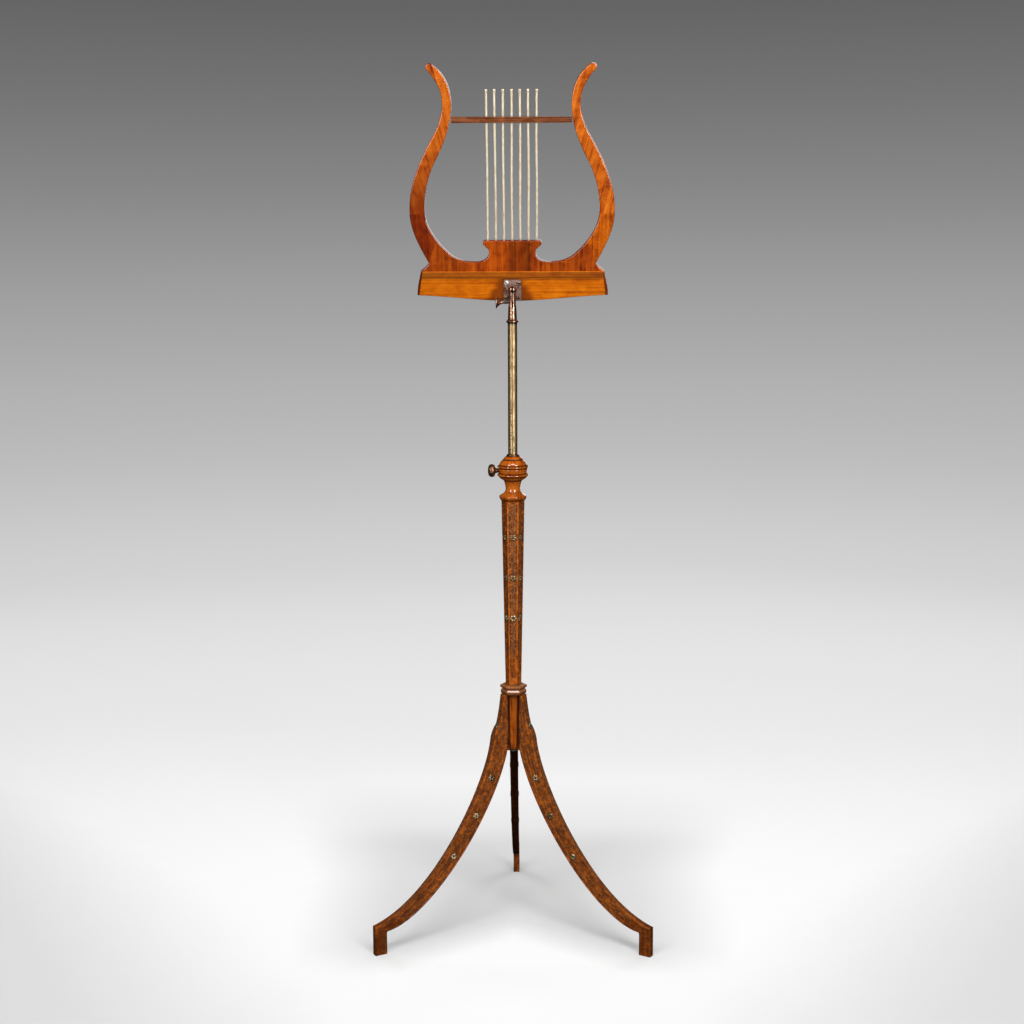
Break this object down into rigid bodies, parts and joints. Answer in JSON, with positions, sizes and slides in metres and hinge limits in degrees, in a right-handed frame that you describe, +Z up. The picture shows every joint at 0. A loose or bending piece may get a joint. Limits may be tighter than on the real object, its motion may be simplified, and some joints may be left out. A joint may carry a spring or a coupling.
{
  "type": "music stand",
  "caption": "Lyre-backed wooden music stand with a tilting desk, a sliding brass pole clamped in a turned collar, a hexagonal column and sabre legs.",
  "frame": {"origin": "on the floor, at the middle of the footprint's bounding box, 57.45 mm in front of the stand's vertical axis (the axis is at y = -57.45 mm)", "axes": "+Z up; +Y towards the musician, who faces the lyre and its ledge; the hinge, the rail and the two front feet face -Y; +X to the right seen from the -Y side"},
  "size_m": [0.4174, 0.3616, 1.3],
  "materials": {
    "mahogany": "dark French-polished mahogany, carved",
    "veneer": "glossy figured mahogany veneer",
    "rail": "glossy straight-grained golden mahogany",
    "rosewood": "satin rosewood",
    "dowel": "bare beech",
    "pole_brass": "aged brass with wear along the slide",
    "bronze": "polished bronze-toned brass with dark recesses",
    "string_brass": "satin brass wire",
    "steel": "dull dark steel"
  },
  "bodies": {
    "stand": {"hub": "mahogany", "base_ring": "mahogany", "leg_front_left": "mahogany", "leg_front_right": "mahogany", "leg_rear": "mahogany", "hub_plate": "steel", "hub_plate_screw_1": "steel", "hub_plate_screw_2": "steel", "hub_plate_screw_3": "steel", "column": "mahogany", "collar": "mahogany", "pole_bush": "bronze", "screw_insert": "bronze"},
    "clamp_shoe": {"clamp_shoe": "bronze"},
    "height_knob": {"height_knob": "bronze"},
    "pole": {"pole_tube": "pole_brass", "pole_plug": "dowel"},
    "head": {"fork": "bronze", "pivot_pin": "steel"},
    "tilt_screw": {"tilt_screw": "bronze"},
    "desk": {"hinge_plate": "bronze", "plate_screw_1": "bronze", "plate_screw_2": "bronze", "plate_screw_3": "bronze", "plate_screw_4": "bronze", "back_rail": "rail", "lyre_base": "veneer", "lyre_arm_left": "veneer", "lyre_arm_right": "veneer", "arm_dowel_left": "dowel", "arm_dowel_right": "dowel", "crossbar": "rosewood", "string_1": "string_brass", "string_2": "string_brass", "string_3": "string_brass", "string_4": "string_brass", "string_5": "string_brass", "string_6": "string_brass", "string_7": "string_brass", "music_ledge": "rail", "ledge_lip": "rail", "ledge_dowel_left": "dowel", "ledge_dowel_middle": "dowel", "ledge_dowel_right": "dowel"}
  },
  "joints": [
    {"name": "pole_slide", "type": "slide", "parent": "stand", "child": "pole", "axis": [0, 0, 1], "range_m": [-0.14, 0.11]},
    {"name": "desk_swivel", "type": "hinge", "parent": "pole", "child": "head", "pos_m": [0, -0.05745, 0.9341], "axis": [0, 0, 1], "continuous": true},
    {"name": "desk_tilt", "type": "hinge", "parent": "head", "child": "desk", "pos_m": [0, -0.05745, 0.9803], "axis": [1, 0, 0], "range_deg": [-12, 70]},
    {"name": "tilt_screw_turn", "type": "hinge", "parent": "head", "child": "tilt_screw", "pos_m": [-0.012, -0.05745, 0.962], "axis": [-1, 0, 0], "range_deg": [0, 270]},
    {"name": "clamp_shoe_slide", "type": "slide", "parent": "stand", "child": "clamp_shoe", "axis": [-1, 0, 0], "range_m": [0, 0.0015]},
    {"name": "height_knob_turn", "type": "hinge", "parent": "clamp_shoe", "child": "height_knob", "pos_m": [-0.03, -0.05745, 0.713], "axis": [-1, 0, 0], "range_deg": [0, 540]}
  ],
  "couplings": [
    {"joint": "height_knob_turn", "follows": "clamp_shoe_slide", "rad_per_m": 6283.2}
  ]
}
